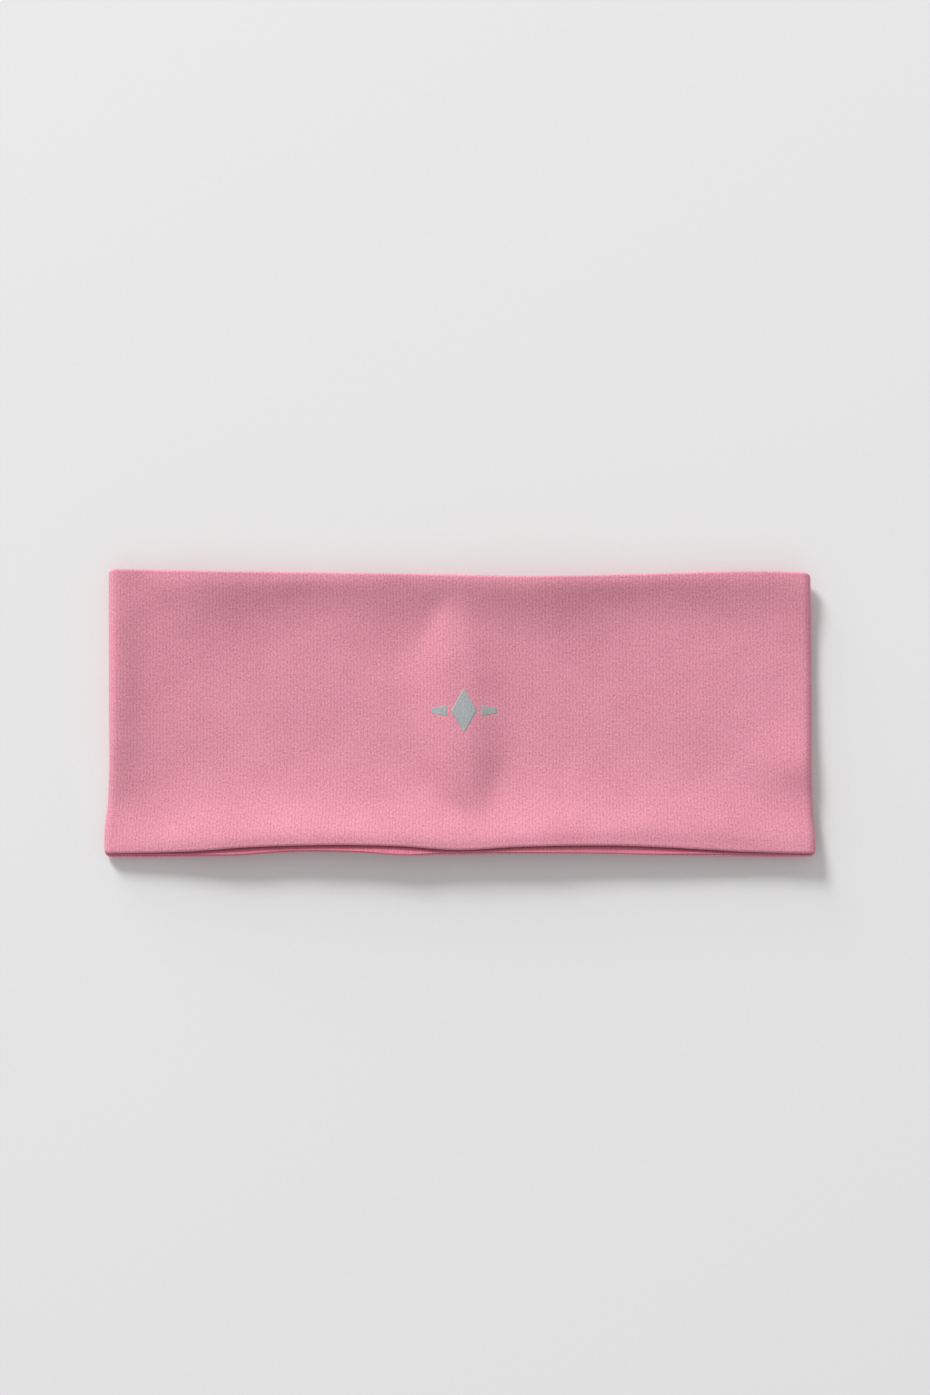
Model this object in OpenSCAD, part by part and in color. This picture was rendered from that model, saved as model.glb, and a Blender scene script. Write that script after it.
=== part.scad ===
// Two-ply knitted sports headband, lying flat on its under wall.
// X runs from side fold to side fold, Y across the band, +Z up.
// The origin is the middle of the footprint, on the surface the band lies on.
// Each wall is an outer ply and a lining ply. Their hems and seam allowances
// are turned in between them, and the back seam is in the under wall.

/* [Band] */
// Width of the band as it lies flat, side fold to side fold
flat_w = 234; // [190:1:270]
// Height of the knitted band, from one edge to the other
band_h = 92; // [60:1:110]
// How far the under wall lies forward of the upper wall
wall_shift = 2.4; // [0:0.2:5]
// Clear height of the head opening while the band lies flat
opening_h = 5; // [4.8:0.1:8]

/* [Knit] */
// Thickness of one knitted ply
ply_t = 0.65; // [0.5:0.05:1]
// Space between the plies, which holds the hems and allowances
ply_gap = 0.6; // [0.6:0.05:1]
// Thickness of a hem or allowance pressed flat
hem_t = 0.25; // [0.2:0.05:0.25]

/* [Seams] */
// Depth of the hem turned in at each edge
hem_d = 5; // [3:0.5:8]
// Distance from an edge to the start of its hem
hem_setback = 1.4; // [1.2:0.1:2]
// Width of each back seam allowance
allowance_w = 5; // [3:0.5:8]
// Width of the seam line pressed into the ply
groove_w = 0.6; // [0.4:0.1:1]
// Depth of the seam line pressed into the ply
groove_d = 0.2; // [0.1:0.05:0.3]
// Thickness of the sewing thread
thread_t = 0.25; // [0.2:0.05:0.25]
// Distance from an edge to its seam thread
thread_setback = 0.5; // [0.3:0.1:0.8]

/* [Care label] */
// Length of the folded label, away from the back seam
label_len = 20; // [12:1:30]
// Width of the label tape
label_w = 16; // [10:1:25]
// Thickness of the folded label
label_t = 0.3; // [0.2:0.05:0.3]

/* [Front motif] */
// Width of the centre diamond
diamond_w = 8.6; // [6:0.2:12]
// Height of the centre diamond
diamond_h = 14.8; // [8:0.2:20]
// Length of each side dash
dash_len = 5.2; // [3:0.2:8]
// Height of a side dash at its inner end
dash_h = 3.4; // [2:0.2:6]
// Clear space between the diamond and a dash
dash_gap = 1.3; // [0.8:0.1:3]
// Thickness of the transfer film
film_t = 0.15; // [0.1:0.05:0.3]
// Sideways place of the motif's middle
motif_x = 1.3; // [-20:0.1:20]
// Place of the motif's middle across the band
motif_y = 0.8; // [-15:0.1:15]

/* [Hidden] */
$fn = 96;

wall_t = 2 * ply_t + ply_gap;
total_t = 2 * wall_t + opening_h;
half_h = band_h / 2;
lean = wall_shift / total_t;
lining_inset = ply_t + ply_gap;
margin = 2;
knit_pink = [0.87, 0.57, 0.65];
lining_pink = [0.84, 0.53, 0.61];
thread_pink = [0.76, 0.43, 0.52];
label_white = [0.93, 0.92, 0.9];
film_grey = [0.66, 0.67, 0.67];

// Cross-section of the flat tube, its surface drawn in by inset
module tube_outline(inset) {
    radius = total_t / 2 - inset;
    straight = flat_w - total_t;
    translate([0, total_t / 2]) {
        square([straight, 2 * radius], center = true);
        for (side = [-1, 1])
            translate([side * straight / 2, 0]) circle(r = radius);
    }
}

// Closed loop of material between two depths below the tube's surface
module loop_layer(inset, thickness) {
    rotate([90, 0, 0])
        linear_extrude(height = band_h + wall_shift + 2 * margin, center = true)
            difference() {
                tube_outline(inset);
                tube_outline(inset + thickness);
            }
}

// Leaning slab across the tube, as the upper wall lies behind the under wall
module leaning_slab(y_from, y_to) {
    low = -margin;
    high = total_t + margin;
    rotate([90, 0, 90])
        linear_extrude(height = flat_w + 2 * margin, center = true)
            polygon([
                [y_from + lean * (low - total_t / 2), low],
                [y_to + lean * (low - total_t / 2), low],
                [y_to + lean * (high - total_t / 2), high],
                [y_from + lean * (high - total_t / 2), high]
            ]);
}

// One ply of the tube, cut to the band's height
module ply(inset) {
    intersection() {
        loop_layer(inset, ply_t);
        leaning_slab(-half_h, half_h);
    }
}

// Hems turned in along both edges
module hems(inset) {
    start = half_h - hem_setback;
    intersection() {
        loop_layer(inset, hem_t);
        union() {
            leaning_slab(start - hem_d, start);
            leaning_slab(-start, hem_d - start);
        }
    }
}

// Both back seam allowances, pressed open to either side of the thread
module allowances(z_low) {
    length = band_h - 2 * hem_setback;
    y_mid = lean * (z_low + hem_t / 2 - total_t / 2);
    for (side = [-1, 1])
        translate([side * (groove_w + allowance_w) / 2, y_mid, z_low + hem_t / 2])
            cube([allowance_w, length, hem_t], center = true);
}

// Seam line pressed into a ply where the two ends of its strip meet
module seam_groove(z_low) {
    translate([0, 0, z_low + groove_d / 2])
        cube([groove_w, band_h + wall_shift + margin, groove_d], center = true);
}

// Straight run of thread along the back seam, between the allowances
module seam_thread(z_low) {
    length = band_h - 2 * (hem_setback + thread_t);
    y_mid = lean * (z_low - total_t / 2);
    translate([0, y_mid, z_low + thread_t / 2])
        cube([thread_t, length, thread_t], center = true);
}

// Run of thread that joins the plies all round one edge of the band
module edge_thread(y_edge) {
    inward = y_edge > 0 ? -1 : 1;
    y_near = y_edge + inward * thread_setback;
    y_far = y_near + inward * thread_t;
    intersection() {
        loop_layer(ply_t + (ply_gap - thread_t) / 2, thread_t);
        leaning_slab(min(y_near, y_far), max(y_near, y_far));
    }
}

module outer_shell() {
    color(knit_pink)
        difference() {
            union() {
                ply(0);
                hems(ply_t);
                allowances(ply_t);
            }
            seam_groove(0);
        }
}

module inner_lining() {
    color(lining_pink)
        difference() {
            union() {
                ply(lining_inset);
                hems(lining_inset - hem_t);
                allowances(lining_inset - hem_t);
            }
            seam_groove(wall_t - groove_d);
        }
}

module upper_edge_thread() {
    color(thread_pink) edge_thread(half_h);
}

module lower_edge_thread() {
    color(thread_pink) edge_thread(-half_h);
}

module shell_back_seam_thread() {
    color(thread_pink) seam_thread(ply_t);
}

module lining_back_seam_thread() {
    color(thread_pink) seam_thread(lining_inset - thread_t);
}

// Blank folded tape that lies on the lining beside the back seam
module care_label() {
    color(label_white)
        translate([groove_w, -label_w / 2, wall_t])
            cube([label_len, label_w, label_t]);
}

// Line of stitching that holds the label's sewn end
module care_label_thread() {
    stitch_inset = 1.2;
    stitch_t = 0.2;
    color(thread_pink)
        translate([groove_w + stitch_inset, 1 - label_w / 2, wall_t + label_t])
            cube([2 * stitch_t, label_w - 2, stitch_t]);
}

// One flat piece of film on the front of the upper wall
module film(points) {
    color(film_grey)
        translate([motif_x, motif_y, total_t])
            linear_extrude(height = film_t) polygon(points);
}

module transfer_diamond() {
    film([
        [-diamond_w / 2, 0], [0, -diamond_h / 2],
        [diamond_w / 2, 0], [0, diamond_h / 2]
    ]);
}

// Dash that tapers to a blunt end away from the diamond
module dash(side) {
    inner = diamond_w / 2 + dash_gap;
    tip_h = dash_h / 2;
    film([
        [side * inner, -dash_h / 2], [side * (inner + dash_len), -tip_h / 2],
        [side * (inner + dash_len), tip_h / 2], [side * inner, dash_h / 2]
    ]);
}

module transfer_left_dash() {
    dash(-1);
}

module transfer_right_dash() {
    dash(1);
}

outer_shell();
inner_lining();
upper_edge_thread();
lower_edge_thread();
shell_back_seam_thread();
lining_back_seam_thread();
care_label();
care_label_thread();
transfer_diamond();
transfer_left_dash();
transfer_right_dash();
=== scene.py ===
import math

import bpy
import numpy as np
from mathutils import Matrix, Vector


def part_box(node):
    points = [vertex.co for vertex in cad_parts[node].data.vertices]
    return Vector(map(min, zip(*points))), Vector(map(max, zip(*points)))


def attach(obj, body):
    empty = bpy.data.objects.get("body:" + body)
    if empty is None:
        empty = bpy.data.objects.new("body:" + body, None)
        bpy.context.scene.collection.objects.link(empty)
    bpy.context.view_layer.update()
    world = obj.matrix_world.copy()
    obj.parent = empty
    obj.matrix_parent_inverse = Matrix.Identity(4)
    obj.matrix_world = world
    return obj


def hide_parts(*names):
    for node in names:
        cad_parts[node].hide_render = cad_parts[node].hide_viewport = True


# A two-ply knitted sports headband, lying flat on a pale floor.
# Shapes are worked out in millimetres and scaled to metres when a mesh is made.
# X runs from side fold to side fold, Y across the band, Z up. The tube opens along Y.

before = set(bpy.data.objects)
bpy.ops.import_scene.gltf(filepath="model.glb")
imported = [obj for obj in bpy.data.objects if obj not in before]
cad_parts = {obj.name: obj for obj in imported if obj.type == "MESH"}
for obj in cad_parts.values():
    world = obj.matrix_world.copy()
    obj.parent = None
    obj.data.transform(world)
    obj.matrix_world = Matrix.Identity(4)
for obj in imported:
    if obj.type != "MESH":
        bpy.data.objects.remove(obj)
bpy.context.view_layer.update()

MM = 0.001
SHELL_LOW, SHELL_HIGH = (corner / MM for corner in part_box("outer_shell"))
LABEL_LOW, LABEL_HIGH = (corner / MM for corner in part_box("care_label"))

# ---------------------------------------------------------------- measurements

HALF_WIDTH = SHELL_HIGH.x          # from the middle to a side fold
PLY = 0.5                          # thickness of one ply
WALL = 1.35                        # thickness of a wall away from its hems
HEM_EXTRA = 0.8                    # lining's depth below the centre of an edge roll
WALE_PITCH = 1.1                   # width of one knitted column
COURSE_PITCH = 0.8                 # height of one knitted row
STITCH_PITCH = 2.5                 # length of one seam stitch
EDGE_THREAD_R = 0.13               # radii of the three sewing threads
SEAM_THREAD_R = 0.11
LABEL_THREAD_R = 0.1
EDGE_THREAD_DEPTH = 0.33           # how far the edge thread lies below the centre of an edge roll
EDGE_THREAD_SETBACK = 0.28         # and how far inside the outer ply's edge
SEAM_BULK = 0.9                    # extra depth of the lining over the back seam's allowances
SEAM_PRESS = 0.3                   # how far the lining is pressed in again along the seam's line
SEAM_GROOVE = 0.22                 # depth of the seam's line in the outer face
SEAM_END = 5                       # how far the seam's threads stop inside the edges
FILM = 0.08                        # height of the print above the knit
FILM_SINK = 0.05                   # how far the print's underside is set into the knit
TAPE_PLY = 0.12                    # thickness of the label tape
TAPE_LOW, TAPE_HIGH = 0.10, 0.38   # heights of the folded tape's two layers over the lining
TAPE_WEAVE = 0.0004                # pitch of its weave in metres

ROLL_R = 0.8                       # radius of the turned edge of the outer ply
FOLD_ROLL_R = 0.7                  # the same where the edge crosses a side fold
ROLL_TURN = math.radians(86)       # how far the outer ply turns over the roll
LINING_SETBACK = 0.2               # how far the lining's edge lies inside the outer ply's
FOLD_R = 2.6                       # sideways radius of a side fold
FRONT_CORNER_PULL = 1.3            # how far the front edge draws in at a side fold
BACK_CORNER_PULL = 0.1
RIM_DROP = 0.5                     # gap between the walls at their front rims
LIP_VALLEY = 2.0                   # extra depth of the under wall just under the upper lip

# Edges of the walls, as (x, y) points from left to right
BACK_EDGE = [(-115, 47.4), (-92, 46.9), (-50, 46.3), (5, 45.4), (19, 45.1), (35, 45.2), (70, 46.0),
             (104, 46.6), (115, 46.2)]
FRONT_EDGE = [(-115, -46.1), (-92, -45.6), (-66, -43.9), (-20, -43.7), (-1, -44.9), (19, -43.9),
              (59, -43.7), (76, -44.6), (97, -45.7), (115, -46.0)]
UNDER_FRONT_EDGE = [(-115, -48.1), (-96, -48.0), (-80, -47.5), (-53, -46.1), (-30, -46.3), (-20, -46.8),
                    (-1, -47.2), (20, -46.6), (46, -46.4), (76, -47.3), (91, -47.8), (105, -48.0),
                    (115, -47.9)]
UNDER_BACK_SETBACK = 2.0           # how far the under wall's back edge lies inside the upper one

# Side folds, as (y, x) points from the front edge to the back edge
LEFT_SIDE = [(-47, -117.0), (-38, -116.8), (-30, -115.9), (-22, -115.5), (4, -115.4), (46, -115.4)]
RIGHT_SIDE = [(-47, 117.0), (-43, 116.8), (-36, 116.2), (-22, 115.7), (4, 115.6), (24, 115.5),
              (46, 115.1)]


# ---------------------------------------------------------------- shape helpers

def curve(points, at):
    """Smooth line through a few given points, level past its ends."""
    place, value = np.array(points, float).T
    slope = np.gradient(value, place)
    at = np.clip(at, place[0], place[-1])
    k = np.clip(np.searchsorted(place, at) - 1, 0, len(place) - 2)
    span = place[k + 1] - place[k]
    f = (at - place[k]) / span
    rise = f * f * (3 - 2 * f)
    return (value[k] * (1 - rise) + value[k + 1] * rise
            + span * slope[k] * f * (1 - f) ** 2 - span * slope[k + 1] * f * f * (1 - f))


def shoulder(distance, crest, width):
    """1 up to the crest, then a fall that is steepest one width past it."""
    past = np.maximum(distance - crest, 0) / width
    return (1 + past) * np.exp(-past)


def bump(offset, width_before, width_after=None):
    """Smooth hump of height 1, with its own width on each side."""
    width = width_before if width_after is None else np.where(offset < 0, width_before, width_after)
    return np.exp(-(offset / width) ** 2)


def smooth_step(low, high, at):
    """0 below low, 1 above high and a smooth rise between."""
    f = np.clip((at - low) / (high - low), 0, 1)
    return f * f * (3 - 2 * f)


def ripple(x, y, seed, wavelengths, count=14):
    """Gentle irregular waves between about -1 and 1, the same on each run."""
    rng = np.random.default_rng(seed)
    total = np.zeros(np.broadcast(x, y).shape)
    for _ in range(count):
        wavelength = rng.uniform(*wavelengths)
        heading = rng.uniform(0, math.pi)
        phase = rng.uniform(0, 2 * math.pi)
        along = x * math.cos(heading) + y * math.sin(heading)
        total += np.sin(2 * math.pi * along / wavelength + phase)
    return total / math.sqrt(count)


# ---------------------------------------------------------------- the two walls

# Height of the upper wall's sunken middle, as (x, height) points
MIDDLE_HEIGHT = [(-110, 3.0), (-50, 3.2), (0, 3.3), (80, 3.5), (110, 3.9)]
# Rise of the crest along each edge above the sunken middle, as (x, rise) or (y, rise) points
BACK_CREST = [(-112, 2.2), (-97, 3.9), (-85, 5.0), (-69, 4.1), (-50, 3.6), (-20, 4.3), (0, 4.4),
              (13, 5.0), (30, 5.4), (46, 4.4), (63, 3.7), (96, 3.8), (112, 2.9)]
FRONT_CREST = [(-116, 1.5), (-110, 2.6), (-98, 3.6), (-82, 4.6), (-60, 5.4), (-30, 6.0), (0, 5.9),
               (25, 5.7), (45, 5.0), (75, 3.9), (98, 3.1), (112, 3.0)]
LEFT_CREST = [(-46, 1.2), (-30, 1.0), (-20, 2.0), (-8, 3.6), (10, 4.4), (46, 4.2)]
RIGHT_CREST = [(-46, 2.3), (-28, 1.7), (-17, 2.9), (-3, 1.7), (46, 1.6)]
# How far the under wall's front rim turns up past the upper lip, as (x, rise) points
RIM_TURN = [(-116, 1.4), (-76, 1.05), (-20, 1.15), (0, 1.3), (40, 0.8), (60, 0.9), (80, 1.4), (112, 1.5)]
# Width of the slope behind each crest, as (x, width) points
BACK_SLOPE = [(-100, 7.5), (-85, 6.6), (-69, 5.4), (-53, 4.0), (-36, 4.8), (-20, 5.9), (0, 5.2),
              (13, 6.0), (30, 5.9), (46, 4.8), (63, 4.4), (90, 5.6), (110, 6.8)]
FRONT_SLOPE = [(-110, 5.6), (0, 5.9), (110, 6.4)]
LEFT_SLOPE = 4.6
RIGHT_SLOPE = 7.0
# How far each crest line lies inside its edge
BACK_INSET = [(-112, 2.3), (-50, 2.2), (-33, 1.7), (-15, 1.4), (20, 1.5), (50, 1.7), (70, 1.5),
              (112, 2.2)]
FRONT_INSET = [(-116, 1.6), (-60, 2.1), (0, 1.9), (30, 2.6), (50, 3.4), (75, 4.0), (96, 3.6), (112, 2.4)]
SIDE_INSET = 2.6
# Height of the ridge that the back seam raises, as (y, height) points, and where it runs, as (y, x) points
RIDGE_HEIGHT = [(-46, 0.4), (-36, 1.7), (-29, 2.8), (-22, 3.3), (0, 3.7), (22, 2.9), (30, 2.4), (38, 1.7),
                (46, 0.5)]
RIDGE_PLACE = [(-46, 4.0), (-33, 2.8), (-25, 1.2), (-9, 0.5), (5, 0.0), (20, -0.3), (30, -0.8),
               (38, -1.2), (46, -1.5)]
# Width of the ridge's left and right flanks, as (y, width) points
RIDGE_LEFT = [(-46, 3.0), (-33, 4.5), (-24, 8.0), (-10, 12.0), (0, 13.0), (18, 12.5), (30, 7.0), (38, 4.0),
              (46, 3.0)]
RIDGE_RIGHT = [(-46, 5.0), (-33, 6.5), (-24, 8.0), (18, 9.5), (30, 7.5), (38, 5.0), (46, 4.0)]
RIDGE_TOP = 1.5                    # half the width of the ridge's flat top


def upper_height(x, y):
    """Height of the upper wall's outer face."""
    back = curve(BACK_EDGE, x) - y
    front = y - curve(FRONT_EDGE, x)
    left = x - curve(LEFT_SIDE, y)
    right = curve(RIGHT_SIDE, y) - x
    from_ridge = x - curve(RIDGE_PLACE, y)
    off_ridge = np.sign(from_ridge) * np.maximum(np.abs(from_ridge) - RIDGE_TOP, 0)
    rises = [
        curve(BACK_CREST, x) * shoulder(back, curve(BACK_INSET, x), curve(BACK_SLOPE, x)),
        curve(FRONT_CREST, x) * shoulder(front, curve(FRONT_INSET, x), curve(FRONT_SLOPE, x)),
        curve(LEFT_CREST, y) * shoulder(left, SIDE_INSET, LEFT_SLOPE),
        curve(RIGHT_CREST, y) * shoulder(right, SIDE_INSET, RIGHT_SLOPE),
        curve(RIDGE_HEIGHT, y) * bump(off_ridge, curve(RIDGE_LEFT, y), curve(RIDGE_RIGHT, y)),
    ]
    blend = 2.4     # above 1, so that the tallest rise counts most where they overlap
    padded = sum(rise ** blend for rise in rises) ** (1 / blend)
    waves = 0.14 * ripple(x, y, 3, (22, 60)) + 0.035 * ripple(x, y, 8, (7, 16))
    return curve(MIDDLE_HEIGHT, x) + padded + waves


def under_height(x, y):
    """Height of the under wall's outer face, which curls up with the upper wall at its edges."""
    back = curve(BACK_EDGE, x) - UNDER_BACK_SETBACK - y
    front = y - curve(FRONT_EDGE, x)
    both_hems = 2 * (ROLL_R + HEM_EXTRA)
    room = np.maximum(upper_height(x, y) - both_hems - RIM_DROP, 0)
    back_share = 0.45   # the back edge curls up less than the front edge
    lift = room * (shoulder(front, 4, 6) + back_share * shoulder(back, 3, 5))
    lift = np.maximum(lift - LIP_VALLEY * bump(front - 0.4, 1.0, 4.0), 0)
    upturn = curve(RIM_TURN, x) * smooth_step(0.1, 2.2, -front)
    seam = SEAM_GROOVE * bump(x, 0.35) * smooth_step(3, 6, np.minimum(front, back))
    return 0.02 + lift + upturn + seam + 0.02 * (1 + ripple(x, y, 5, (9, 30)))


def seam_bulk(x, side, from_edge):
    """Extra depth of the lining over the seam allowances, with the seam line pressed in."""
    under = np.clip(-side, 0, 1) * smooth_step(3, 8, from_edge)
    return under * (SEAM_BULK * (1 - smooth_step(3.8, 7.0, np.abs(x))) - SEAM_PRESS * bump(x, 0.4))


def loop_samples():
    """Places round the tube, from the back seam and back to it.

    Each has a straight place from -1 to 1, and the outward direction (nx, nz).
    """
    # The steps are shortest beside the back seam
    fine = np.arange(0, 3.0, 0.25) / (HALF_WIDTH - FOLD_R)
    coarse = np.linspace(fine[-1], 1, 94, endpoint=False)[1:]
    half = np.concatenate([fine, coarse])
    turn = np.linspace(-90, 90, 27)
    wall = np.linspace(1, -1, 200)[1:-1]
    straight = np.concatenate([half, np.ones(len(turn)), wall, -np.ones(len(turn)), -half[:0:-1]])
    angle = np.radians(np.concatenate([
        np.full(len(half), -90.0), turn, np.full(len(wall), 90.0), 180 - turn[::-1],
        np.full(len(half) - 1, -90.0)]))
    return straight, np.cos(angle), np.sin(angle)


STRAIGHT, NX, NZ = loop_samples()
NX[np.abs(NX) < 1e-9] = 0
EVEN = np.linspace(0, 1, 89)
ACROSS = 0.25 * EVEN + 0.75 * (0.5 - 0.5 * np.cos(np.pi * EVEN))   # closer together near the edges


def edge_y(x, side, back):
    """Where an edge lies, blended round the side folds between the two walls."""
    upper_share = (side + 1) / 2
    if back:
        over = curve(BACK_EDGE, x)
        under = over - UNDER_BACK_SETBACK
    else:
        over = curve(FRONT_EDGE, x)
        under = curve(UNDER_FRONT_EDGE, x)
    return under * (1 - upper_share) + over * upper_share


def base_surface():
    """Outer face of the band between its two edge rolls: points, outward normals and roll radii."""
    side = NZ[:, None]
    sideways = NX[:, None]
    roll = ROLL_R + (FOLD_ROLL_R - ROLL_R) * NX ** 2
    rough_x = STRAIGHT * (HALF_WIDTH - FOLD_R)
    front = edge_y(rough_x, NZ, False) + roll + FRONT_CORNER_PULL * NX ** 4
    back = edge_y(rough_x, NZ, True) - roll - BACK_CORNER_PULL * NX ** 4
    y = front[:, None] + (back - front)[:, None] * ACROSS[None, :]
    left, right = curve(LEFT_SIDE, y), curve(RIGHT_SIDE, y)
    middle, half = (left + right) / 2, (right - left) / 2
    x_straight = middle + STRAIGHT[:, None] * (half - FOLD_R)
    top, bottom = upper_height(x_straight, y), under_height(x_straight, y)
    x = x_straight + sideways * FOLD_R
    z = (top + bottom) / 2 + side * (top - bottom) / 2
    points = np.stack([x, y, z], -1)
    around = np.roll(points, -1, 0) - np.roll(points, 1, 0)
    across = np.gradient(points, axis=1)
    normals = np.cross(across, around)
    normals /= np.linalg.norm(normals, axis=-1, keepdims=True)
    return points, normals, roll


POINTS, NORMALS, ROLLS = base_surface()

# Distance along the cloth from its middle column, for each base point
ACROSS_STEPS = np.linalg.norm(np.diff(POINTS, axis=1), axis=-1)
CLOTH_Y = np.concatenate([np.zeros((len(POINTS), 1)), np.cumsum(ACROSS_STEPS, axis=1)], axis=1)
CLOTH_Y -= CLOTH_Y[:, CLOTH_Y.shape[1] // 2, None]


def edge_frame(end):
    """Last base point at one edge, with its normal and the direction out over the edge."""
    column, inner = (-1, -2) if end > 0 else (0, 1)
    last, normal = POINTS[:, column], NORMALS[:, column]
    outward = last - POINTS[:, inner]
    outward -= normal * (outward * normal).sum(-1, keepdims=True)
    outward /= np.linalg.norm(outward, axis=-1, keepdims=True)
    return last, normal, outward


def roll_point(end, radius, angle, slide=0.0):
    """Point on the roll at one edge, at an angle turned over it and slid along its tangent."""
    last, normal, outward = edge_frame(end)
    centre = last - normal * ROLLS[:, None]
    radius = np.broadcast_to(radius, ROLLS.shape)[:, None]
    along = normal * math.cos(angle) + outward * math.sin(angle)
    tangent = outward * math.cos(angle) - normal * math.sin(angle)
    return centre + along * radius + tangent * slide


def shell_section():
    """Columns of points that go once round the outer ply's cross-section."""
    turns = np.linspace(0, ROLL_TURN, 8)[1:]
    cap = np.linspace(0, math.pi, 6)[1:-1]
    count = POINTS.shape[1]
    columns = [POINTS[:, j] for j in range(count)]
    v = [CLOTH_Y[:, j] for j in range(count)]

    def over_edge(end):
        out = [roll_point(end, ROLLS, a) for a in turns]
        half = PLY / 2
        for c in cap:
            out.append(roll_point(end, ROLLS - half + half * math.cos(c), ROLL_TURN, half * math.sin(c)))
        out += [roll_point(end, ROLLS - PLY, a) for a in turns[::-1]]
        reach = [end * a * ROLLS for a in turns] + [end * ROLL_TURN * ROLLS for _ in cap]
        reach += [end * a * ROLLS for a in turns[::-1]]
        return out, [CLOTH_Y[:, -1 if end > 0 else 0] + r for r in reach]

    back, back_v = over_edge(1)
    front, front_v = over_edge(-1)
    inner = [POINTS[:, j] - NORMALS[:, j] * PLY for j in range(count - 1, -1, -1)]
    inner_v = v[::-1]
    return columns + back + inner + front[::-1], v + back_v + inner_v + front_v[::-1]


def lining_depth(j_column, inner_face):
    """Depth of the lining's face below the outer face, deeper over the hems and the seam."""
    y = POINTS[:, j_column, 1]
    from_edge = np.minimum(y - POINTS[:, 0, 1], POINTS[:, -1, 1] - y)
    hem = 1 - smooth_step(1.5, 8.0, from_edge)
    depth = WALL + (ROLLS + HEM_EXTRA - WALL) * hem + seam_bulk(POINTS[:, j_column, 0], NZ, from_edge)
    return depth if inner_face else depth - PLY


def lining_section():
    """Columns of points that go once round the lining's cross-section."""
    count = POINTS.shape[1]
    cap = np.linspace(0, math.pi, 7)[1:-1]

    def face(inner_face):
        return [POINTS[:, j] - NORMALS[:, j] * lining_depth(j, inner_face)[:, None] for j in range(count)]

    reach = np.linspace(0, 1, 4)[1:]
    rim = (ROLLS - LINING_SETBACK - PLY / 2)[:, None]

    def past_edge(end, inner_face):
        last, normal, outward = edge_frame(end)
        depth = lining_depth(-1 if end > 0 else 0, inner_face)[:, None]
        return [last - normal * depth + outward * rim * r for r in reach]

    def edge_cap(end):
        last, normal, outward = edge_frame(end)
        depth = lining_depth(-1 if end > 0 else 0, True)[:, None] - PLY / 2
        centre = last - normal * depth + outward * rim
        return [centre + (normal * math.cos(c) + outward * math.sin(c)) * PLY / 2 for c in cap]

    def edge_v(end):
        rim_v = CLOTH_Y[:, -1 if end > 0 else 0]
        past = [rim_v + end * rim[:, 0] * r for r in reach]
        cap_v = [rim_v + end * (rim[:, 0] + math.sin(c) * PLY / 2) for c in cap]
        return past + cap_v + past[::-1]

    hidden, shown = face(False), face(True)
    columns = hidden + past_edge(1, False) + edge_cap(1) + past_edge(1, True)[::-1] + shown[::-1]
    columns += past_edge(-1, True) + edge_cap(-1)[::-1] + past_edge(-1, False)[::-1]
    v = [CLOTH_Y[:, j] for j in range(count)]
    return columns, v + edge_v(1) + v[::-1] + edge_v(-1)


# ---------------------------------------------------------------- mesh helpers

LOOP_LENGTH = np.concatenate([[0], np.cumsum(np.linalg.norm(
    np.diff(POINTS[:, POINTS.shape[1] // 2], axis=0), axis=-1))])


def add_mesh(name, vertices, faces, cloth=None):
    """Mesh object from points in millimetres, with its cloth coordinates if it has them."""
    mesh = bpy.data.meshes.new(name)
    mesh.from_pydata((np.asarray(vertices) * MM).tolist(), [], faces)
    mesh.polygons.foreach_set("use_smooth", np.ones(len(mesh.polygons), bool))
    if cloth is not None:
        layer = mesh.attributes.new("cloth", "FLOAT_VECTOR", "POINT")
        layer.data.foreach_set("vector", np.asarray(cloth, np.float32).ravel())
    mesh.update()
    piece = bpy.data.objects.new(name, mesh)
    bpy.context.scene.collection.objects.link(piece)
    return piece


def grid_faces(rows, columns, wrap_rows, wrap_columns):
    """Quads over a grid of points that is stored row by row, as an array."""
    i = np.arange(rows if wrap_rows else rows - 1)
    j = np.arange(columns if wrap_columns else columns - 1)
    i, j = (a.ravel() for a in np.meshgrid(i, j, indexing="ij"))
    i_next, j_next = (i + 1) % rows, (j + 1) % columns
    here, beyond = i * columns, i_next * columns
    return np.stack([here + j, here + j_next, beyond + j_next, beyond + j], 1)


def ply_piece(name, section):
    """Closed ply from the columns of its cross-section."""
    columns, across = section
    points = np.stack(columns, 1)
    rows, count = points.shape[:2]
    cloth = np.zeros((rows, count, 3))
    cloth[..., 0] = LOOP_LENGTH[:, None]
    cloth[..., 1] = np.stack(across, 1)
    faces = grid_faces(rows, count, True, True).tolist()
    return add_mesh(name, points.reshape(-1, 3), faces, cloth.reshape(-1, 3))


def thread_piece(name, path, radius, closed, sides=6):
    """Round thread that follows a path of points."""
    path = np.asarray(path, float)
    ahead = np.roll(path, -1, 0) - np.roll(path, 1, 0)
    if not closed:
        ahead[0], ahead[-1] = path[1] - path[0], path[-1] - path[-2]
    ahead /= np.linalg.norm(ahead, axis=1, keepdims=True)
    guide = np.array([0.31, 0.17, 0.93])
    sideways = np.cross(ahead, guide)
    sideways /= np.linalg.norm(sideways, axis=1, keepdims=True)
    upward = np.cross(sideways, ahead)
    angles = np.linspace(0, 2 * math.pi, sides, endpoint=False)
    rings = [path + radius * (sideways * math.cos(a) + upward * math.sin(a)) for a in angles]
    vertices = np.stack(rings, 1).reshape(-1, 3)
    faces = grid_faces(len(path), sides, closed, True).tolist()
    if not closed:
        faces.append(list(range(sides)))
        faces.append([(len(path) - 1) * sides + k for k in range(sides)][::-1])
    return add_mesh(name, vertices, faces)


# ---------------------------------------------------------------- materials

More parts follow.
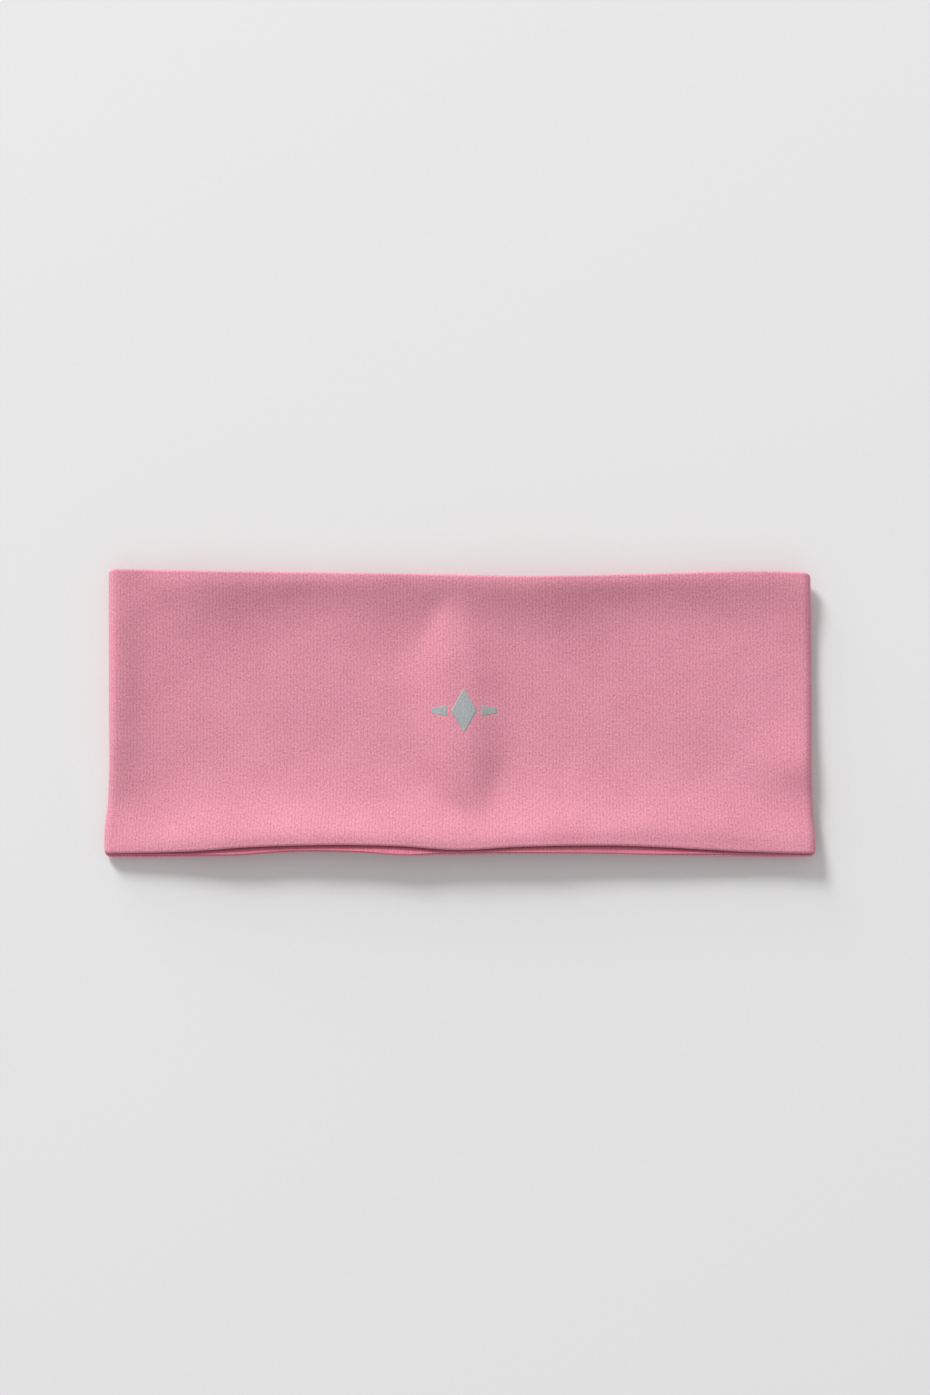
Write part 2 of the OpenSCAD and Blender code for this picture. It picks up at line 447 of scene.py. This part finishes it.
class Nodes:
    """Short way to build a node material."""

    def __init__(self, name):
        self.material = bpy.data.materials.new(name)
        self.material.use_nodes = True
        self.tree = self.material.node_tree
        self.shader = self.tree.nodes["Principled BSDF"]

    def math(self, operation, first, second=0.0, third=0.0):
        node = self.tree.nodes.new("ShaderNodeMath")
        node.operation = operation
        for k, value in enumerate((first, second, third)):
            if hasattr(value, "is_output"):
                self.tree.links.new(value, node.inputs[k])
            else:
                node.inputs[k].default_value = value
        return node.outputs[0]

    def attribute(self, name):
        node = self.tree.nodes.new("ShaderNodeAttribute")
        node.attribute_name = name
        return node.outputs["Vector"]

    def split(self, vector):
        node = self.tree.nodes.new("ShaderNodeSeparateXYZ")
        self.tree.links.new(vector, node.inputs[0])
        return node.outputs

    def scaled(self, vector, scale):
        node = self.tree.nodes.new("ShaderNodeVectorMath")
        node.operation = "MULTIPLY"
        self.tree.links.new(vector, node.inputs[0])
        node.inputs[1].default_value = scale
        return node.outputs[0]

    def noise(self, vector, scale, detail=2.0, roughness=0.5):
        node = self.tree.nodes.new("ShaderNodeTexNoise")
        self.tree.links.new(vector, node.inputs["Vector"])
        node.inputs["Scale"].default_value = scale
        node.inputs["Detail"].default_value = detail
        node.inputs["Roughness"].default_value = roughness
        return node.outputs["Fac"]

    def ramp(self, factor, stops):
        node = self.tree.nodes.new("ShaderNodeValToRGB")
        self.tree.links.new(factor, node.inputs[0])
        ramp = node.color_ramp
        for k, (position, colour) in enumerate(stops):
            stop = ramp.elements[k] if k < 2 else ramp.elements.new(position)
            stop.position = position
            stop.color = (*colour, 1)
        return node.outputs["Color"]

    def bump(self, height, distance, strength):
        node = self.tree.nodes.new("ShaderNodeBump")
        node.inputs["Distance"].default_value = distance
        node.inputs["Strength"].default_value = strength
        self.tree.links.new(height, node.inputs["Height"])
        return node.outputs["Normal"]

    def finish(self, colour, roughness, normal, **constants):
        self.tree.links.new(colour, self.shader.inputs["Base Color"])
        self.tree.links.new(roughness, self.shader.inputs["Roughness"])
        self.tree.links.new(normal, self.shader.inputs["Normal"])
        for key, value in constants.items():
            self.shader.inputs[key.replace("_", " ")].default_value = value
        return self.material


def knit_material(name, dark, middle, light):
    """Fine-wale knit: columns of loops along Y, with fibre noise, painted shade between the columns and a
    soft sheen.
    """
    n = Nodes(name)
    cloth = n.attribute("cloth")
    drift = n.noise(cloth, 0.22, 2.0)
    u, v, _ = n.split(cloth)
    wales = n.math("ADD", n.math("DIVIDE", u, WALE_PITCH), n.math("MULTIPLY", drift, 0.9))
    place = n.math("SUBTRACT", n.math("FRACT", wales), 0.5)
    off_centre = n.math("MULTIPLY", n.math("ABSOLUTE", place), 2.0)
    rib = n.math("SUBTRACT", 1.0, n.math("POWER", off_centre, 2.0))
    rows = n.math("ADD", n.math("DIVIDE", v, COURSE_PITCH), n.math("MULTIPLY", off_centre, 0.55))
    loops = n.math("SINE", n.math("MULTIPLY", rows, 2 * math.pi))
    loop_height = n.math("MULTIPLY_ADD", loops, 0.2, 0.8)
    fibre = n.noise(n.scaled(cloth, (1.9, 1.4, 1.9)), 1.0, 5.0, 0.72)
    fuzz = n.noise(cloth, 5.0, 2.0, 0.6)
    height = n.math("MULTIPLY", n.math("MULTIPLY", rib, loop_height), 0.4)
    height = n.math("MULTIPLY_ADD", fibre, 1.8, height)
    height = n.math("MULTIPLY_ADD", fuzz, 0.3, height)
    # The rib term makes the tone lighter on the wale columns and darker between them: painted shade in the
    # grooves, on top of the bump.
    tone = n.math("MULTIPLY_ADD", fibre, 1.4, n.math("MULTIPLY_ADD", rib, 0.09, -0.2))
    tone = n.math("MULTIPLY_ADD", n.noise(cloth, 0.06, 2.0), 0.13, tone)
    colour = n.ramp(tone, [(0.32, dark), (0.93, light), (0.625, middle)])
    roughness = n.math("MULTIPLY_ADD", fibre, 0.2, 0.76)
    normal = n.bump(height, 0.00016, 0.66)
    return n.finish(colour, roughness, normal, Sheen_Weight=0.25, Sheen_Roughness=0.45,
                    Sheen_Tint=(1.0, 0.60, 0.68, 1), Specular_IOR_Level=0.1)


def thread_material(name, dark, light):
    """Spun sewing thread with a fine twist."""
    n = Nodes(name)
    coordinates = n.tree.nodes.new("ShaderNodeTexCoord").outputs["Object"]
    twist = n.noise(coordinates, 4200.0, 2.0, 0.6)
    colour = n.ramp(twist, [(0.3, dark), (0.7, light)])
    roughness = n.math("MULTIPLY_ADD", twist, 0.2, 0.55)
    return n.finish(colour, roughness, n.bump(twist, 0.00004, 0.5), Sheen_Weight=0.2)


def film_material(name):
    """Satin grey heat-transfer film that takes up a little of the knit below it."""
    n = Nodes(name)
    coordinates = n.tree.nodes.new("ShaderNodeTexCoord").outputs["Object"]
    x, _, _ = n.split(coordinates)
    wales = n.math("SINE", n.math("MULTIPLY", x, 2 * math.pi / (WALE_PITCH * MM)))
    grain = n.noise(coordinates, 1500.0, 3.0, 0.6)
    height = n.math("MULTIPLY_ADD", wales, 0.25, grain)
    colour = n.ramp(grain, [(0.3, (0.32, 0.345, 0.352)), (0.7, (0.43, 0.458, 0.466))])
    roughness = n.math("MULTIPLY_ADD", grain, 0.2, 0.52)
    return n.finish(colour, roughness, n.bump(height, 0.00005, 0.5), Specular_IOR_Level=0.35)


def tape_material(name):
    """Blank satin label tape with a fine plain weave."""
    n = Nodes(name)
    coordinates = n.tree.nodes.new("ShaderNodeTexCoord").outputs["Object"]
    x, y, _ = n.split(coordinates)
    warp = n.math("SINE", n.math("MULTIPLY", x, 2 * math.pi / TAPE_WEAVE))
    weft = n.math("SINE", n.math("MULTIPLY", y, 2 * math.pi / TAPE_WEAVE))
    weave = n.math("MULTIPLY", warp, weft)
    colour = n.ramp(n.noise(coordinates, 900.0), [(0.3, (0.80, 0.79, 0.76)), (0.7, (0.86, 0.85, 0.82))])
    roughness = n.math("MULTIPLY_ADD", weave, 0.05, 0.5)
    return n.finish(colour, roughness, n.bump(weave, 0.00003, 0.5), Sheen_Weight=0.15)


def floor_material(name):
    """Plain matte pale grey paper."""
    n = Nodes(name)
    coordinates = n.tree.nodes.new("ShaderNodeTexCoord").outputs["Object"]
    tooth = n.noise(coordinates, 700.0, 2.0)
    colour = n.ramp(tooth, [(0.3, (0.795, 0.795, 0.795)), (0.7, (0.805, 0.805, 0.805))])
    roughness = n.math("MULTIPLY_ADD", tooth, 0.05, 0.9)
    return n.finish(colour, roughness, n.bump(tooth, 0.00001, 0.1), Specular_IOR_Level=0.1)


SHELL_KNIT = knit_material("pink_knit", (0.51, 0.153, 0.211), (0.742, 0.291, 0.374), (0.905, 0.435, 0.53))
# The lining's colours are deeper and more saturated than the outer ply's: painted shade, standing in for
# the bounce light in the crevice under the upper lip.
LINING_KNIT = knit_material("lining_knit", (0.58, 0.140, 0.205), (0.73, 0.215, 0.295), (0.85, 0.30, 0.39))
THREAD = thread_material("pink_thread", (0.40, 0.10, 0.15), (0.50, 0.15, 0.21))
FILM_GREY = film_material("grey_film")
TAPE = tape_material("label_tape")
FLOOR = floor_material("pale_paper")


def place(piece, material, node, slot):
    """Gives a piece its material and its body, and hides the CAD node that it replaces. The slot is not
    used.
    """
    piece.data.materials.append(material)
    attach(piece, "root")
    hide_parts(node)
    return piece


# ---------------------------------------------------------------- the pieces

shell = place(ply_piece("outer_shell_knit", shell_section()), SHELL_KNIT, "outer_shell", "shell_knit")
lining = place(ply_piece("inner_lining_knit", lining_section()), LINING_KNIT, "inner_lining", "lining_knit")


def stitched(line, step_out, steps):
    """Points along a closed or open line, stepped off it stitch by stitch."""
    length = np.concatenate([[0], np.cumsum(np.linalg.norm(np.diff(line, axis=0), axis=1))])
    stitches = round(length[-1] / STITCH_PITCH)
    at = np.linspace(0, length[-1], stitches * len(steps), endpoint=False)
    path = np.stack([np.interp(at, length, line[:, k]) for k in range(3)], 1)
    out = np.stack([np.interp(at, length, step_out[:, k]) for k in range(3)], 1)
    return path + out * np.tile(steps, stitches)[:, None]


def edge_thread_path(end):
    """Seam thread in the groove between the plies, which steps from one to the other."""
    last, normal, outward = edge_frame(end)
    line = last - normal * (ROLLS + EDGE_THREAD_DEPTH)[:, None]
    line = line + outward * (ROLLS - EDGE_THREAD_SETBACK)[:, None]
    line = np.concatenate([line, line[:1]])
    normal = np.concatenate([normal, normal[:1]])
    return stitched(line, normal, [0.06, 0.09, 0.03, -0.06, -0.09, -0.03])


def back_seam_path(inner):
    """Seam thread along the pressed seam line in the under wall, clear of the two hems."""
    seam_row = POINTS[0]
    normal = NORMALS[0]
    depth = np.array([lining_depth(j, True)[0] for j in range(len(seam_row))]) + 0.05 if inner else -0.02
    line = seam_row - normal * np.broadcast_to(depth, len(seam_row))[:, None]
    inside = (seam_row[:, 1] > seam_row[0, 1] + SEAM_END) & (seam_row[:, 1] < seam_row[-1, 1] - SEAM_END)
    sideways = np.tile([1.0, 0, 0], (inside.sum(), 1))
    return stitched(line[inside], sideways, [0.12, 0.2, 0.12, -0.12, -0.2, -0.12])


upper_thread = place(thread_piece("upper_edge_stitches", edge_thread_path(1), EDGE_THREAD_R, True),
                     THREAD, "upper_edge_thread", "sewing_thread")
lower_thread = place(thread_piece("lower_edge_stitches", edge_thread_path(-1), EDGE_THREAD_R, True),
                     THREAD, "lower_edge_thread", "sewing_thread")
shell_seam = place(thread_piece("shell_seam_stitches", back_seam_path(False), SEAM_THREAD_R, False),
                   THREAD, "shell_back_seam_thread", "sewing_thread")
lining_seam = place(thread_piece("lining_seam_stitches", back_seam_path(True), SEAM_THREAD_R, False),
                    THREAD, "lining_back_seam_thread", "sewing_thread")


def film_piece(name, node, corners):
    """Thin film over a four-sided outline, pressed onto the upper wall."""
    steps = 28
    s, t = np.meshgrid(np.linspace(0, 1, steps + 1), np.linspace(0, 1, steps + 1), indexing="ij")
    a, b, c, d = (np.array(p, float) for p in corners)
    flat = ((1 - s)[..., None] * ((1 - t)[..., None] * a + t[..., None] * d)
            + s[..., None] * ((1 - t)[..., None] * b + t[..., None] * c))
    x, y = flat[..., 0], flat[..., 1]
    height = upper_height(x, y)
    rim = np.minimum(np.minimum(s, 1 - s), np.minimum(t, 1 - t))
    film = FILM * smooth_step(-0.01, 0.03, rim)
    top = np.stack([x, y, height + film], -1).reshape(-1, 3)
    bottom = np.stack([x, y, height - FILM_SINK], -1).reshape(-1, 3)
    count = (steps + 1) ** 2
    faces = grid_faces(steps + 1, steps + 1, False, False)
    faces = [f[::-1] for f in faces.tolist()] + (faces + count).tolist()
    ring = [i * (steps + 1) for i in range(steps)] + [steps * (steps + 1) + j for j in range(steps)]
    ring += [i * (steps + 1) + steps for i in range(steps, 0, -1)] + [j for j in range(steps, 0, -1)]
    for here, ahead in zip(ring, ring[1:] + ring[:1]):
        faces.append([here, here + count, ahead + count, ahead])
    piece = add_mesh(name, np.concatenate([top, bottom]), faces)
    return place(piece, FILM_GREY, node, "transfer_film")


def film_corners(node, taper):
    """Outline of a motif piece from its CAD box, narrowed by taper at its left and right ends."""
    low, high = (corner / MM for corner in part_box(node))
    y_mid, half = (low.y + high.y) / 2, (high.y - low.y) / 2
    left, right = taper
    return [(low.x, y_mid - half * left), (high.x, y_mid - half * right),
            (high.x, y_mid + half * right), (low.x, y_mid + half * left)]


def diamond_corners(node):
    """Outline of the diamond from its CAD box."""
    low, high = (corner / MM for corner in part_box(node))
    x_mid, y_mid = (low.x + high.x) / 2, (low.y + high.y) / 2
    return [(low.x, y_mid), (x_mid, low.y), (high.x, y_mid), (x_mid, high.y)]


diamond = film_piece("transfer_diamond_film", "transfer_diamond", diamond_corners("transfer_diamond"))
left_dash = film_piece("transfer_left_film", "transfer_left_dash",
                       film_corners("transfer_left_dash", (0.5, 1.0)))
right_dash = film_piece("transfer_right_film", "transfer_right_dash",
                        film_corners("transfer_right_dash", (1.0, 0.5)))


def label_section():
    """Centreline of the folded label in (x, height over the lining), sewn end to sewn end."""
    bend = (TAPE_HIGH - TAPE_LOW) / 2
    x = np.linspace(0, LABEL_HIGH.x - LABEL_LOW.x - bend - TAPE_PLY / 2, 40)
    low = np.stack([x, np.full_like(x, TAPE_LOW)], 1)
    turn = np.radians(np.linspace(-90, 90, 9)[1:-1])
    fold = np.stack([x[-1] + bend * np.cos(turn), TAPE_LOW + bend + bend * np.sin(turn)], 1)
    high = np.stack([x[::-1], np.full_like(x, TAPE_HIGH)], 1)
    return np.concatenate([low, fold, high])


def label_piece():
    """Blank tape folded in half, lying on the lining beside the back seam."""
    centre = label_section()
    ahead = np.gradient(centre, axis=0)
    ahead /= np.linalg.norm(ahead, axis=1, keepdims=True)
    side = np.stack([-ahead[:, 1], ahead[:, 0]], 1) * TAPE_PLY / 2
    outline = np.concatenate([centre + side, (centre - side)[::-1]])
    y = np.linspace(LABEL_LOW.y, LABEL_HIGH.y, 25)
    x = outline[:, 0][:, None] + LABEL_LOW.x + 0 * y[None, :]
    yy = y[None, :] + 0 * x
    bulk = seam_bulk(np.maximum(x, 2.0), -1, HALF_WIDTH)
    z = under_height(np.abs(x) + 2, yy) + WALL + bulk + outline[:, 1][:, None]
    vertices = np.stack([x, yy, z], -1).reshape(-1, 3)
    rows, columns = x.shape
    faces = grid_faces(rows, columns, True, False).tolist()
    faces.append([i * columns for i in range(rows)])
    faces.append([i * columns + columns - 1 for i in range(rows)][::-1])
    return add_mesh("care_label_tape", vertices, faces)


label = place(label_piece(), TAPE, "care_label", "label_tape")


def label_stitch_path():
    """Wavy line of stitches along the label's sewn end, on top of it."""
    y = np.linspace(LABEL_LOW.y + 0.8, LABEL_HIGH.y - 0.8, 60)
    x = LABEL_LOW.x + 1.4 + 0 * y
    label_face = under_height(x + 2, y) + WALL + SEAM_BULK + TAPE_HIGH + TAPE_PLY / 2
    z = label_face + 0.09 + 0.07 * np.sin(2 * math.pi * y / STITCH_PITCH)
    return np.stack([x, y, z], 1)


label_thread = place(thread_piece("care_label_stitches", label_stitch_path(), LABEL_THREAD_R, False),
                     THREAD, "care_label_thread", "sewing_thread")

# ---------------------------------------------------------------- stage, light and camera

FLOOR_HALF = 2200                  # half the floor's side
FLOOR_Z = -0.02                    # just below the band, so that their faces don't coincide
around = ((-1, -1), (1, -1), (1, 1), (-1, 1))
floor_corners = [(sx * FLOOR_HALF, sy * FLOOR_HALF, FLOOR_Z) for sx, sy in around]
floor = add_mesh("floor", floor_corners, [(0, 1, 2, 3)])
floor.data.materials.append(FLOOR)

world = bpy.data.worlds.new("studio")
bpy.context.scene.world = world
world.use_nodes = True
SKY_LIGHT = 0.53                   # how strongly the surroundings light the band
SKY_SEEN = 0.82                    # how bright they look behind it, close to the floor
background = world.node_tree.nodes["Background"]
background.inputs["Color"].default_value = (1, 1, 1, 1)
ray = world.node_tree.nodes.new("ShaderNodeLightPath")
strength = world.node_tree.nodes.new("ShaderNodeMath")
strength.operation = "MULTIPLY_ADD"
strength.inputs[1].default_value = SKY_SEEN - SKY_LIGHT
strength.inputs[2].default_value = SKY_LIGHT
world.node_tree.links.new(ray.outputs["Is Camera Ray"], strength.inputs[0])
world.node_tree.links.new(strength.outputs[0], background.inputs["Strength"])


def aim(thing, place_at, target):
    """Puts a lamp somewhere and turns it to face a point."""
    thing.location = place_at
    thing.rotation_euler = (Vector(target) - Vector(place_at)).to_track_quat("-Z", "Y").to_euler()


def soft_light(name, distance, azimuth, elevation, size, power):
    """Round lamp that faces the band. Azimuth is measured from +X towards +Y."""
    data = bpy.data.lights.new(name, "AREA")
    data.shape = "DISK"
    data.size = size
    data.energy = power
    lamp = bpy.data.objects.new(name, data)
    bpy.context.scene.collection.objects.link(lamp)
    a, e = math.radians(azimuth), math.radians(elevation)
    direction = Vector((math.cos(e) * math.cos(a), math.cos(e) * math.sin(a), math.sin(e)))
    aim(lamp, direction * distance, (0, 0, 0))


soft_light("key", 6.0, 118, 30, 1.7, 272)
soft_light("rake", 6.0, 118, 12, 3.0, 125)

camera_data = bpy.data.cameras.new("camera")
camera = bpy.data.objects.new("camera", camera_data)
bpy.context.scene.collection.objects.link(camera)
bpy.context.scene.camera = camera
CAMERA_HEIGHT = 1.7
VIEW_HEIGHT = 0.4596               # height of the floor area that the picture takes in
VIEW_CENTRE = (0.00165, 0.0051)    # place on the floor in the middle of the picture
SENSOR = 36
camera_data.sensor_width = SENSOR
camera_data.lens = SENSOR * CAMERA_HEIGHT / VIEW_HEIGHT
camera_data.clip_end = 50
camera.location = (*VIEW_CENTRE, CAMERA_HEIGHT)
camera.rotation_euler = (0, 0, 0)

bpy.context.scene.view_settings.view_transform = "Standard"
bpy.context.scene.view_settings.look = "None"
